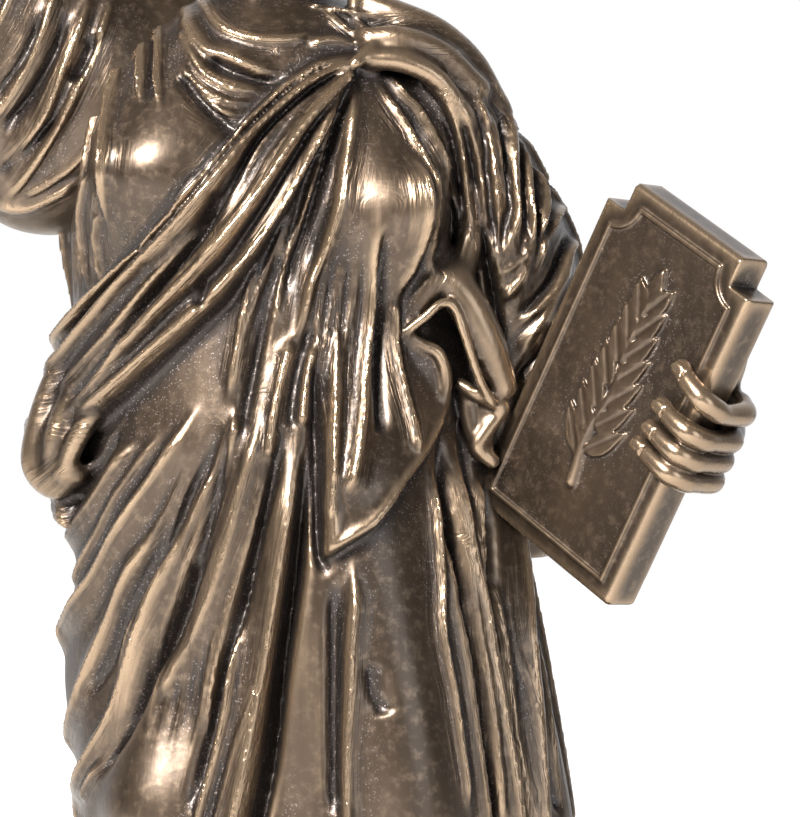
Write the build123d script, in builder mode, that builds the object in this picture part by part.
from build123d import *
import os
from math import cos, exp, pi, sin

os.makedirs("parts", exist_ok=True)

# Cast statuette of a draped figure that holds a tablet and lifts a laurel wreath.
# Millimetres, +Z up, figure faces -Y, origin at the centre of the resting face.

# ---------------------------------------------------------------- plinth
foot_width = 88.0
foot_height = 9.0
die_width = 74.0
die_height = 18.5
cap_width = 82.0
cap_height = 7.0
plinth_corner = 9.0
moulding_chamfer = 2.5
felt_thickness = 1.5
felt_inset = 1.5

# ---------------------------------------------------------------- fasteners and pins
screw_diameter = 4.0
screw_length = 30.0
screw_head_diameter = 8.0
screw_head_height = 3.1
recess_width = 1.0
recess_span = 4.2
recess_depth = 1.6
washer_diameter = 9.0
washer_thickness = 0.8
counterbore_diameter = 12.0
counterbore_depth = 14.0
screw_clearance = 0.25
insert_diameter = 6.4
insert_length = 8.0
tip_clearance = 2.0
locating_pin_diameter = 4.0
locating_pin_length = 16.0
locating_pin_spacing = 32.0
dowel_diameter = 3.0
dowel_length = 14.0
tablet_dowel_diameter = 1.5
tablet_dowel_length = 5.0
tablet_dowel_spacing = 8.0
pin_clearance = 0.05
pin_end_gap = 0.3

# ---------------------------------------------------------------- robed body, heights above the plinth
# height, centre X, half width, depth to the front, depth to the back
gown_sections = [
    (0.0, 3.0, 32.0, 25.0, 25.0),
    (34.0, 2.5, 31.0, 24.0, 23.0),
    (69.0, 1.2, 28.5, 22.0, 21.0),
    (104.0, -2.5, 25.5, 19.5, 18.5),
    (122.0, -4.5, 23.5, 17.5, 17.0),
    (139.0, -6.0, 23.0, 16.0, 15.5),
    (150.0, -5.0, 23.5, 14.5, 14.0),
    (157.0, -5.5, 20.5, 12.5, 12.0),
    (162.0, -5.5, 14.5, 10.0, 9.5),
    (165.5, -5.5, 8.0, 7.0, 7.0),
]
gown_slices = 24
gown_points = 56
sleeve_slices = 14
# X, height, spread across, spread up, rise, and the side that swells: -1 front, 1 back
swells = [
    (-17.0, 145.0, 6.0, 6.2, 6.0, -1),
    (6.4, 140.0, 6.2, 6.6, 6.2, -1),
    (10.0, 78.0, 5.6, 20.0, 3.8, -1),
    (-18.5, 72.0, 5.6, 6.0, 3.6, -1),
    (-3.0, 112.0, 9.0, 9.0, 1.0, -1),
    (-2.0, 98.0, 13.0, 13.0, 3.0, 1),
]
pleat_count = 14
pleat_depth = 1.7
pleat_lean = 0.035
pleat_top = 118.0
toe_width = 10.0
toe_length = 24.0
toe_height = 6.0
toe_reach = 3.5
toe_spacing = 27.0

# mantle band, a tilted ring from the left shoulder to the right hip
band_centre = (-11.5, 0.5, 137.5)
band_run = 38.0
band_drop = 49.0
band_depth_radius = 15.2
band_width = 10.5
band_thickness = 8.0

# overfold that hangs from the band
overfold_thickness = 1.2
overfold_outline = [
    (-26.0, 114.0),
    (-5.0, 131.0),
    (12.0, 140.0),
    (16.5, 128.0),
    (14.5, 115.0),
    (1.2, 99.5),
    (-12.0, 93.0),
    (-33.0, 98.0),
]
drape_end_top = (13.5, -13.5, 137.0)
drape_end_bend = (16.0, -14.5, 124.0)
drape_end_foot = (17.5, -13.5, 113.0)
drape_end_top_radius = 4.2
drape_end_foot_radius = 3.0

# left sleeve, height, centre X, centre Y, half width, half depth
left_sleeve_sections = [
    (99.5, 22.0, 5.5, 5.5, 7.5),
    (111.0, 21.5, 4.5, 7.0, 9.5),
    (124.0, 22.0, 3.5, 9.8, 11.0),
    (139.0, 20.5, 2.0, 10.8, 11.5),
    (152.0, 14.0, 0.5, 10.5, 10.5),
    (160.0, 9.0, 0.0, 8.0, 8.0),
]

# ---------------------------------------------------------------- neck and head
neck_centre = (-5.5, -0.5)
neck_radius = 5.8
neck_height = 13.0
spigot_length = 7.0
spigot_clearance = 0.1
face_height = 25.0
face_width = 18.0
face_depth = 20.0
hair_rise = 1.6
bun_radius = 5.0
fillet_band_rise = 0.9
fillet_band_width = 2.6
hair_setback = 2.6
fillet_band_tilt = 19.3
nose_length = 5.0
nose_root_radius = 0.65
nose_tip_radius = 1.3
nose_projection = 0.9
spigot_seat = 4.5

# ---------------------------------------------------------------- right arm, heights above the plinth
right_shoulder = (-21.0, 1.0, 152.0)
right_elbow = (-43.0, -3.0, 184.0)
right_wrist = (-40.0, -6.0, 211.0)
upper_arm_radius = 7.2
elbow_radius = 5.4
wrist_radius = 3.1
palm_radius = 4.9
palm_rise = 8.5
fist_lean = 2.2
grip_finger_radius = 1.35
grip_finger_pitch = 2.5
grip_finger_count = 4
shoulder_joint_reach = 7.0
# distance to the figure's right, lowest height, highest height, half depth
right_sleeve_sections = [
    (17.0, 142.0, 162.0, 8.0),
    (24.0, 139.5, 167.0, 9.5),
    (32.0, 137.5, 175.0, 9.5),
    (40.0, 141.0, 184.0, 8.5),
    (46.0, 152.0, 190.0, 6.0),
]

# ---------------------------------------------------------------- laurel wreath
wreath_radius = 15.0
wreath_rod_radius = 1.5
wreath_stem_diameter = 3.0
wreath_stem_length = 10.0
wreath_gap = 22.0
wreath_leaf_pairs = 9
leaf_start = 22.0
leaf_length = 8.5
leaf_width = 3.6
leaf_thickness = 0.9
leaf_splay = 30.0
leaf_roll = 28.0
leaf_lift = 9.0

# ---------------------------------------------------------------- tablet
tablet_width = 24.6
tablet_height = 42.8
tablet_thickness = 4.8
tablet_centre = (33.5, -20.0, 119.4)
notch_width = 3.3
notch_height = 3.5
notch_round = 1.4
tablet_edge = 0.35
tablet_clearance = 0.1
tablet_border = 2.0
relief_height = 0.5
relief_line = 0.7

# ---------------------------------------------------------------- left forearm and hand, in tablet axes
forearm_start = (-22.0, -7.0)
forearm_depth = 5.5
forearm_radius = 4.6
hand_wrist_radius = 3.1
wrist_u = 4.5
wrist_v = 0.5
palm_inset = 2.6
palm_setback = 0.5
palm_end_radius = 3.0
knuckle_rise = 2.0
joint_rise = 0.6
finger_diameter = 2.5
finger_reach = 3.9
finger_gap = 0.05
knuckle_outset = 2.2
knuckle_inset = 1.0
hand_edge_radius = 2.4
knuckle_radius = 1.375
bend_radius = 1.31
fingertip_radius = 1.125
# height of the knuckle and of the tip along the tablet, for each finger
finger_lines = [
    (4.8, 7.4),
    (1.4, 2.4),
    (-1.2, -0.4),
    (-3.8, -2.8),
]
thumb_diameter = 2.8
thumb_base_radius = 1.7
thumb_length = 8.0
thumb_splay = 1.0

# ---------------------------------------------------------------- derived places
plinth_height = foot_height + die_height + cap_height
plinth_bottom = felt_thickness
figure_base = plinth_bottom + plinth_height
hem = gown_sections[0]
neck_top_section = gown_sections[-1]
neck_seat = figure_base + neck_top_section[0]


def raised(point):
    """Point given above the plinth, in the statuette's own frame."""
    return Vector(point[0], point[1], figure_base + point[2])


tablet_origin = raised(tablet_centre)
tablet_right = Vector(0.603, -0.6235, -0.4976).normalized()
tablet_front = Vector(-0.702, -0.710, 0.039).normalized()
tablet_plane = Plane(origin=tablet_origin, x_dir=tablet_right, z_dir=tablet_front)


def on_tablet(u, v, n):
    """Point in the tablet's axes: to its right, up its face, out of its face."""
    return tablet_plane.from_local_coords(Vector(u, v, n))


def limb(start, end, start_radius, end_radius):
    """Tapered limb with round ends."""
    axis = end - start
    with BuildPart() as shape:
        with BuildSketch(Plane(origin=start, z_dir=axis)):
            Circle(start_radius)
        with BuildSketch(Plane(origin=end, z_dir=axis)):
            Circle(end_radius)
        loft()
        with Locations(start):
            Sphere(start_radius)
        with Locations(end):
            Sphere(end_radius)
    return shape.part


def pin(centre, axis, diameter, length):
    """Plain round pin about its centre."""
    with BuildPart(Plane(origin=centre, z_dir=axis)) as shape:
        Cylinder(diameter / 2, length)
    return shape.part


def pin_hole(centre, axis, diameter, length):
    """Clearance hole for a pin, both halves at once."""
    return pin(centre, axis, diameter + 2 * pin_clearance, length + 2 * pin_end_gap)


def table_slope(table, row, column):
    """Slope of a table's column at one of its rows, flat at peaks."""
    last = len(table) - 1
    before = (table[row][column] - table[max(row - 1, 0)][column]) / max(
        table[row][0] - table[max(row - 1, 0)][0], 1e-6
    )
    after = (table[min(row + 1, last)][column] - table[row][column]) / max(
        table[min(row + 1, last)][0] - table[row][0], 1e-6
    )
    if row == 0:
        return after
    if row == last:
        return before
    if before * after <= 0:
        return 0.0
    return 2 * before * after / (before + after)


def between(table, count):
    """Evenly spaced rows along a smooth curve through a table's rows."""
    first = table[0][0]
    reach = table[-1][0] - first
    rows = []
    for step in range(count + 1):
        place = first + reach * step / count
        row = max(i for i in range(len(table) - 1) if table[i][0] <= place + 1e-9 or i == 0)
        width = table[row + 1][0] - table[row][0]
        t = (place - table[row][0]) / width
        values = [place]
        for column in range(1, len(table[0])):
            values.append(
                (2 * t**3 - 3 * t**2 + 1) * table[row][column]
                + (t**3 - 2 * t**2 + t) * width * table_slope(table, row, column)
                + (3 * t**2 - 2 * t**3) * table[row + 1][column]
                + (t**3 - t**2) * width * table_slope(table, row + 1, column)
            )
        rows.append(values)
    return rows


def cloth_rise(x, y, height, turn):
    """How far the limbs and pleats push the cloth out at a place on the robe."""
    swell = 0.0
    for swell_x, swell_height, across, up, rise, side in swells:
        if side * y > 0:
            reach = ((x - swell_x) / across) ** 2 + ((height - swell_height) / up) ** 2
            swell += rise * exp(-reach / 2)
    fading = max(0.0, 1 - height / pleat_top) / (1 + swell)
    return swell + pleat_depth * fading * cos(pleat_count * turn + pleat_lean * height)


def lofted_gown(extra):
    """Closed pleated robe through the gown's sections, grown all round by extra."""
    with BuildPart() as shape:
        for height, centre_x, half_width, front, back in between(gown_sections, gown_slices):
            points = []
            for step in range(gown_points):
                turn = 2 * pi * step / gown_points
                depth = back if sin(turn) > 0 else front
                x = centre_x + half_width * cos(turn)
                y = depth * sin(turn)
                rise = extra + cloth_rise(x, y, height, turn)
                points.append((x + rise * cos(turn), y + rise * sin(turn)))
            with BuildSketch(Plane.XY.offset(figure_base + height)):
                with BuildLine():
                    Spline(*points, periodic=True)
                make_face()
        loft()
    return shape.part


def ellipsoid(centre, radii):
    """Ellipsoid with its axes along the frame."""
    with BuildPart() as shape:
        Sphere(1)
        scale(by=radii)
    return shape.part.moved(Location(centre))


def tablet_outline(grow):
    """Notched outline of the tablet, grown on all sides."""
    with BuildSketch() as outline:
        Rectangle(tablet_width, tablet_height)
        notch_y = tablet_height / 2 - notch_height / 2
        with Locations(
            (tablet_width / 2 - notch_width / 2, notch_y),
            (notch_width / 2 - tablet_width / 2, notch_y),
        ):
            Rectangle(notch_width, notch_height, mode=Mode.SUBTRACT)
        inner_corners = outline.vertices().filter_by(
            lambda corner: abs(abs(corner.X) - (tablet_width / 2 - notch_width)) < 0.01
            and abs(corner.Y - (tablet_height / 2 - notch_height)) < 0.01
        )
        fillet(inner_corners, notch_round)
        if grow:
            offset(amount=grow, kind=Kind.INTERSECTION)
    return outline.sketch


# ---------------------------------------------------------------- felt pad
felt_width = foot_width - 2 * felt_inset
felt_corner = plinth_corner - felt_inset / 2
with BuildPart() as felt_pad:
    with BuildSketch():
        square = Rectangle(felt_width, felt_width)
        chamfer(square.vertices(), felt_corner)
    extrude(amount=felt_thickness)

felt_pad.part.label = "felt_pad"
export_step(felt_pad.part, "parts/felt_pad.step")

# ---------------------------------------------------------------- plinth casting
locating_pin_places = [
    Vector(hem[1] + side * locating_pin_spacing / 2, 0, figure_base) for side in (-1, 1)
]
screw_seat = plinth_bottom + counterbore_depth
screw_x = hem[1]

with BuildPart() as plinth_casting:
    with BuildSketch(Plane.XY.offset(plinth_bottom)):
        foot_square = Rectangle(foot_width, foot_width)
        chamfer(foot_square.vertices(), plinth_corner)
    extrude(amount=foot_height)
    top_edges = plinth_casting.faces().sort_by(Axis.Z)[-1].edges()
    chamfer(top_edges, moulding_chamfer)
    with BuildSketch(Plane.XY.offset(plinth_bottom + foot_height)):
        die_square = Rectangle(die_width, die_width)
        chamfer(die_square.vertices(), plinth_corner)
    extrude(amount=die_height)
    with BuildSketch(Plane.XY.offset(figure_base - cap_height)):
        cap_square = Rectangle(cap_width, cap_width)
        chamfer(cap_square.vertices(), plinth_corner)
    extrude(amount=cap_height)
    cap_edges = plinth_casting.faces().filter_by(Axis.Z).sort_by(Axis.Z)[-1].edges()
    chamfer(cap_edges, moulding_chamfer / 2)
    cap_underside = figure_base - cap_height
    cap_reach = (die_width + cap_width) / 4
    under_cap = (
        plinth_casting.edges()
        .filter_by(Plane.XY)
        .filter_by(lambda edge: abs(edge.center().Z - cap_underside) < 0.01)
        .filter_by(lambda edge: max(abs(edge.center().X), abs(edge.center().Y)) > cap_reach)
    )
    chamfer(under_cap, moulding_chamfer)
    with Locations(Plane(origin=(screw_x, 0, plinth_bottom), z_dir=(0, 0, -1))):
        CounterBoreHole(
            screw_diameter / 2 + screw_clearance,
            counterbore_diameter / 2,
            counterbore_depth,
        )
    for place in locating_pin_places:
        add(
            pin_hole(place, (0, 0, 1), locating_pin_diameter, locating_pin_length),
            mode=Mode.SUBTRACT,
        )

plinth_casting.part.label = "plinth_casting"
export_step(plinth_casting.part, "parts/plinth_casting.step")

# ---------------------------------------------------------------- screw, washer, insert, locating pins
with BuildPart() as screw_washer:
    with BuildSketch(Plane.XY.offset(screw_seat - washer_thickness)):
        with Locations((screw_x, 0)):
            Circle(washer_diameter / 2)
            Circle(screw_diameter / 2 + screw_clearance, mode=Mode.SUBTRACT)
    extrude(amount=washer_thickness)

screw_washer.part.label = "screw_washer"
export_step(screw_washer.part, "parts/screw_washer.step")

head_bearing = screw_seat - washer_thickness
with BuildPart() as body_screw:
    with BuildSketch(Plane.XY.offset(head_bearing - screw_head_height)):
        with Locations((screw_x, 0)):
            Circle(screw_head_diameter / 2)
    extrude(amount=screw_head_height)
    fillet(body_screw.faces().sort_by(Axis.Z)[0].edges(), screw_head_height / 3)
    with BuildSketch(Plane.XY.offset(head_bearing)):
        with Locations((screw_x, 0)):
            Circle(screw_diameter / 2)
    extrude(amount=screw_length)
    with BuildSketch(Plane.XY.offset(head_bearing - screw_head_height)):
        with Locations((screw_x, 0)):
            Rectangle(recess_span, recess_width)
            Rectangle(recess_width, recess_span)
    extrude(amount=recess_depth, mode=Mode.SUBTRACT)

body_screw.part.label = "body_screw"
export_step(body_screw.part, "parts/body_screw.step")

with BuildPart() as body_insert:
    with BuildSketch(Plane.XY.offset(figure_base)):
        with Locations((screw_x, 0)):
            Circle(insert_diameter / 2)
            Circle(screw_diameter / 2 + pin_clearance, mode=Mode.SUBTRACT)
    extrude(amount=insert_length)

body_insert.part.label = "body_insert"
export_step(body_insert.part, "parts/body_insert.step")

for name, place in zip(("locating_pin_right", "locating_pin_left"), locating_pin_places):
    locating_pin = pin(place, (0, 0, 1), locating_pin_diameter, locating_pin_length)
    locating_pin.label = name
    export_step(locating_pin, "parts/" + name + ".step")

# ---------------------------------------------------------------- shapes that several castings share
right_arm_axis = (raised(right_elbow) - raised(right_shoulder)).normalized()
forearm_n = -(tablet_thickness + tablet_clearance + forearm_depth)
wrist_n = -(tablet_thickness + tablet_clearance + hand_wrist_radius)
tablet_dowel_places = [
    on_tablet(wrist_u + side * tablet_dowel_spacing / 2, wrist_v, -tablet_thickness)
    for side in (-1, 1)
]
forearm_from = on_tablet(forearm_start[0], forearm_start[1], forearm_n)
forearm_to = on_tablet(wrist_u, wrist_v, wrist_n)
neck_foot = Vector(neck_centre[0], neck_centre[1], neck_seat)
neck_dowel_centre = neck_foot - Vector(0, 0, spigot_length)
right_dowel_centre = raised(right_shoulder) + right_arm_axis * shoulder_joint_reach

with BuildPart() as right_sleeve:
    for reach, low, high, half_depth in between(right_sleeve_sections, sleeve_slices):
        with BuildSketch(Plane.YZ.offset(-reach)):
            with Locations((0, figure_base + (low + high) / 2)):
                Ellipse(half_depth, (high - low) / 2)
    loft()

with BuildPart() as left_sleeve:
    for height, centre_x, centre_y, half_width, half_depth in between(
        left_sleeve_sections, sleeve_slices
    ):
        with BuildSketch(Plane.XY.offset(figure_base + height)):
            with Locations((centre_x, centre_y)):
                Ellipse(half_width, half_depth)
    loft()

band_slope = Vector(-band_run, 0, -band_drop)
band_plane = Plane(
    origin=raised(band_centre), x_dir=band_slope, z_dir=band_slope.cross(Vector(0, 1, 0))
)
with BuildPart() as mantle_band:
    with BuildLine(band_plane) as band_path:
        EllipticalCenterArc((0, 0), band_slope.length / 2, band_depth_radius, arc_size=360)
    with BuildSketch(Plane(origin=band_path.line @ 0, z_dir=band_path.line % 0, x_dir=band_slope)):
        Ellipse(band_thickness / 2, band_width / 2)
    sweep()

with BuildPart() as overfold:
    with BuildSketch(Plane.XZ):
        with BuildLine():
            Polyline(
                *[(x, figure_base + height) for x, height in overfold_outline],
                close=True,
            )
        make_face()
    extrude(amount=foot_width / 2)
    add(lofted_gown(overfold_thickness), mode=Mode.INTERSECT)

drape_end_upper = limb(
    raised(drape_end_top),
    raised(drape_end_bend),
    drape_end_top_radius,
    (drape_end_top_radius + drape_end_foot_radius) / 2,
)
drape_end_lower = limb(
    raised(drape_end_bend),
    raised(drape_end_foot),
    (drape_end_top_radius + drape_end_foot_radius) / 2,
    drape_end_foot_radius,
)
forearm_pocket = limb(
    forearm_from,
    forearm_to,
    forearm_radius + tablet_clearance,
    hand_wrist_radius + tablet_clearance,
)
tablet_pocket = extrude(
    tablet_plane.offset(relief_height + tablet_clearance) * tablet_outline(tablet_clearance),
    -(tablet_thickness + relief_height + 2 * tablet_clearance),
)

toe_y = -hem[3] - toe_reach + toe_length / 2
with BuildPart() as toes:
    for side in (-1, 1):
        toe_centre = (hem[1] + side * toe_spacing / 2, toe_y, figure_base)
        add(ellipsoid(toe_centre, (toe_width / 2, toe_length / 2, toe_height)))
    split(bisect_by=Plane.XY.offset(figure_base), keep=Keep.TOP)

# ---------------------------------------------------------------- body casting
screw_tip = head_bearing + screw_length
with BuildPart() as draped_body:
    add(lofted_gown(0))
    add(toes.part)
    add(overfold.part)
    add(mantle_band.part)
    add(drape_end_upper)
    add(drape_end_lower)
    add(left_sleeve.part)
    add(forearm_pocket, mode=Mode.SUBTRACT)
    add(tablet_pocket, mode=Mode.SUBTRACT)
    with Locations((screw_x, 0, figure_base)):
        Cylinder(
            insert_diameter / 2 + pin_clearance,
            insert_length,
            align=(Align.CENTER, Align.CENTER, Align.MIN),
            mode=Mode.SUBTRACT,
        )
        Cylinder(
            screw_diameter / 2 + screw_clearance,
            screw_tip + tip_clearance - figure_base,
            align=(Align.CENTER, Align.CENTER, Align.MIN),
            mode=Mode.SUBTRACT,
        )
    for place in locating_pin_places:
        add(
            pin_hole(place, (0, 0, 1), locating_pin_diameter, locating_pin_length),
            mode=Mode.SUBTRACT,
        )
    with Locations(neck_foot):
        Cylinder(
            neck_radius + spigot_clearance,
            2 * spigot_length,
            mode=Mode.SUBTRACT,
        )
    add(pin_hole(neck_dowel_centre, (0, 0, 1), dowel_diameter, dowel_length), mode=Mode.SUBTRACT)

with BuildPart() as body_casting:
    add(draped_body.part)
    add(
        pin_hole(right_dowel_centre, right_arm_axis, dowel_diameter, dowel_length),
        mode=Mode.SUBTRACT,
    )

body_casting.part.label = "body_casting"
export_step(body_casting.part, "parts/body_casting.step")

# ---------------------------------------------------------------- head casting
face_centre = neck_foot + Vector(0, -1, neck_height - spigot_seat + face_height / 2)
hair_centre = face_centre + Vector(0, hair_setback, hair_rise)
hair_radii = Vector(face_width / 2 + hair_rise, face_depth / 2 + hair_rise, face_height / 2)
band_radii = hair_radii + Vector(fillet_band_rise, fillet_band_rise, fillet_band_rise)
with BuildPart() as fillet_band:
    add(ellipsoid(hair_centre, tuple(band_radii)))
    with Locations(Location(hair_centre, (-fillet_band_tilt, 0, 0))):
        Box(2 * face_height, 2 * face_height, fillet_band_width, mode=Mode.INTERSECT)

with BuildPart() as head_casting:
    with Locations(neck_foot - Vector(0, 0, spigot_length)):
        Cylinder(
            neck_radius,
            spigot_length + neck_height,
            align=(Align.CENTER, Align.CENTER, Align.MIN),
        )
    add(ellipsoid(face_centre, (face_width / 2, face_depth / 2, face_height / 2)))
    nose_root = face_centre + Vector(0, nose_root_radius - face_depth / 2, nose_length / 2)
    nose_tip = nose_root + Vector(0, -nose_projection, -nose_length)
    add(limb(nose_root, nose_tip, nose_root_radius, nose_tip_radius))
    add(ellipsoid(hair_centre, tuple(hair_radii)))
    bun_centre = hair_centre + Vector(0, face_depth / 2 + hair_rise, -bun_radius / 2)
    with Locations(bun_centre):
        Sphere(bun_radius)
    add(fillet_band.part)
    add(
        pin_hole(neck_dowel_centre, (0, 0, 1), dowel_diameter, dowel_length),
        mode=Mode.SUBTRACT,
    )

head_casting.part.label = "head_casting"
export_step(head_casting.part, "parts/head_casting.step")

neck_dowel = pin(neck_dowel_centre, (0, 0, 1), dowel_diameter, dowel_length)
neck_dowel.label = "neck_dowel"
export_step(neck_dowel, "parts/neck_dowel.step")

# ---------------------------------------------------------------- right arm casting
shoulder = raised(right_shoulder)
elbow = raised(right_elbow)
wrist = raised(right_wrist)
fist = wrist + Vector(fist_lean, -fist_lean, palm_rise)
grip_radius = wreath_stem_diameter / 2 + pin_clearance + grip_finger_radius
grip_half_height = grip_finger_count * grip_finger_pitch / 2
with BuildPart() as right_arm_casting:
    add(right_sleeve.part)
    add(limb(shoulder, elbow, upper_arm_radius, elbow_radius))
    add(limb(elbow, wrist, elbow_radius, wrist_radius))
    add(limb(wrist, fist + Vector(-fist_lean, fist_lean, 0), wrist_radius, palm_radius))
    for finger in range(grip_finger_count):
        level = finger - (grip_finger_count - 1) / 2
        with Locations(fist + Vector(0, 0, level * grip_finger_pitch)):
            Torus(grip_radius, grip_finger_radius)
    add(
        limb(
            fist + Vector(0, 0, grip_half_height),
            fist + Vector(-grip_radius, -grip_radius, grip_finger_pitch),
            grip_finger_radius,
            grip_finger_radius,
        )
    )
    with Locations(fist):
        Cylinder(
            wreath_stem_diameter / 2 + pin_clearance,
            wreath_stem_length + 4 * palm_radius,
            mode=Mode.SUBTRACT,
        )
    add(draped_body.part, mode=Mode.SUBTRACT)
    add(
        pin_hole(right_dowel_centre, right_arm_axis, dowel_diameter, dowel_length),
        mode=Mode.SUBTRACT,
    )

right_arm_casting.part.label = "right_arm_casting"
export_step(right_arm_casting.part, "parts/right_arm_casting.step")

right_arm_dowel = pin(right_dowel_centre, right_arm_axis, dowel_diameter, dowel_length)
right_arm_dowel.label = "right_arm_dowel"
export_step(right_arm_dowel, "parts/right_arm_dowel.step")

# ---------------------------------------------------------------- laurel wreath
stem_top = fist + Vector(0, 0, wreath_stem_length)
wreath_centre = stem_top + Vector(0, 0, wreath_radius)
leaf_side_radius = (leaf_length**2 / leaf_width + leaf_width) / 4
with BuildPart() as leaf:
    with BuildSketch():
        with Locations((leaf_length / 2, leaf_side_radius - leaf_width / 2)):
            Circle(leaf_side_radius)
        with Locations((leaf_length / 2, leaf_width / 2 - leaf_side_radius)):
            Circle(leaf_side_radius, mode=Mode.INTERSECT)
    extrude(amount=leaf_thickness / 2, both=True)

with BuildPart() as laurel_wreath:
    with BuildLine(Plane(origin=wreath_centre, z_dir=(0, -1, 0))) as ring_path:
        CenterArc((0, 0), wreath_radius, 90 + wreath_gap, 360 - 2 * wreath_gap)
    with BuildSketch(Plane(origin=ring_path.line @ 0, z_dir=ring_path.line % 0)):
        Circle(wreath_rod_radius)
    sweep()
    with Locations(fist - Vector(0, 0, grip_half_height)):
        Cylinder(
            wreath_stem_diameter / 2,
            wreath_stem_length + grip_half_height,
            align=(Align.CENTER, Align.CENTER, Align.MIN),
        )
    for side in (-1, 1):
        for step in range(wreath_leaf_pairs):
            share = (step + 0.5) / wreath_leaf_pairs
            around = 270 + side * (leaf_start + (180 - wreath_gap - leaf_start) * share)
            for layer, splay in enumerate((-leaf_splay, 0, leaf_splay)):
                seat = Location(wreath_centre) * Location((0, 0, 0), (90, 0, 0))
                spoke = Location((0, 0, 0), (0, 0, around)) * Location((wreath_radius, 0, 0))
                lean = Location((0, 0, 0), (0, 0, side * (90 + splay)))
                lift = Location((0, 0, 0), (leaf_roll * (layer - 1), -leaf_lift, 0))
                add(leaf.part.moved(seat * spoke * lean * lift))

laurel_wreath.part.label = "laurel_wreath"
export_step(laurel_wreath.part, "parts/laurel_wreath.step")

# ---------------------------------------------------------------- tablet
with BuildPart() as tablet:
    add(extrude(tablet_plane * tablet_outline(0), -tablet_thickness))
    fillet(tablet.edges(), tablet_edge)
    with BuildSketch(tablet_plane):
        add(tablet_outline(-tablet_border))
        add(tablet_outline(-tablet_border - relief_line), mode=Mode.SUBTRACT)
    extrude(amount=relief_height)

    for place in tablet_dowel_places:
        add(
            pin_hole(place, tablet_front, tablet_dowel_diameter, tablet_dowel_length),
            mode=Mode.SUBTRACT,
        )

tablet.part.label = "tablet"
export_step(tablet.part, "parts/tablet.step")

for name, place in zip(("tablet_dowel_inner", "tablet_dowel_outer"), tablet_dowel_places):
    tablet_dowel = pin(place, tablet_front, tablet_dowel_diameter, tablet_dowel_length)
    tablet_dowel.label = name
    export_step(tablet_dowel, "parts/" + name + ".step")

# ---------------------------------------------------------------- left forearm and hand
palm_n = wrist_n - palm_setback
palm_u = tablet_width / 2 - palm_inset
knuckle_u = tablet_width / 2 + knuckle_outset
finger_n = finger_diameter / 2 + finger_gap
with BuildPart() as left_hand_casting:
    add(limb(forearm_from, forearm_to, forearm_radius, hand_wrist_radius))
    add(limb(forearm_to, on_tablet(palm_u, wrist_v, palm_n), hand_wrist_radius, palm_end_radius))
    for knuckle_v, tip_v in finger_lines:
        knuckle = on_tablet(knuckle_u - knuckle_inset, knuckle_v, palm_n + knuckle_rise)
        bend = on_tablet(knuckle_u + finger_gap, knuckle_v, 0.0)
        last_joint_v = (2 * knuckle_v + tip_v) / 3
        last_joint = on_tablet(tablet_width / 2, last_joint_v, finger_n + joint_rise)
        tip = on_tablet(tablet_width / 2 - finger_reach, tip_v, finger_n)
        palm_side = on_tablet(palm_u, (wrist_v + knuckle_v) / 2, palm_n)
        add(limb(palm_side, knuckle, hand_edge_radius, knuckle_radius))
        add(limb(knuckle, bend, knuckle_radius, bend_radius))
        add(limb(bend, last_joint, bend_radius, finger_diameter / 2))
        add(limb(last_joint, tip, finger_diameter / 2, fingertip_radius))
    thumb_base = on_tablet(palm_u, wrist_v + palm_end_radius, palm_n)
    thumb_tip = on_tablet(
        palm_u + thumb_splay,
        wrist_v + palm_end_radius + thumb_length,
        -(tablet_thickness + tablet_clearance + thumb_diameter / 2),
    )
    add(limb(thumb_base, thumb_tip, thumb_base_radius, thumb_diameter / 2))
    add(tablet_pocket, mode=Mode.SUBTRACT)
    for place in tablet_dowel_places:
        add(
            pin_hole(place, tablet_front, tablet_dowel_diameter, tablet_dowel_length),
            mode=Mode.SUBTRACT,
        )

left_hand_casting.part.label = "left_hand_casting"
export_step(left_hand_casting.part, "parts/left_hand_casting.step")
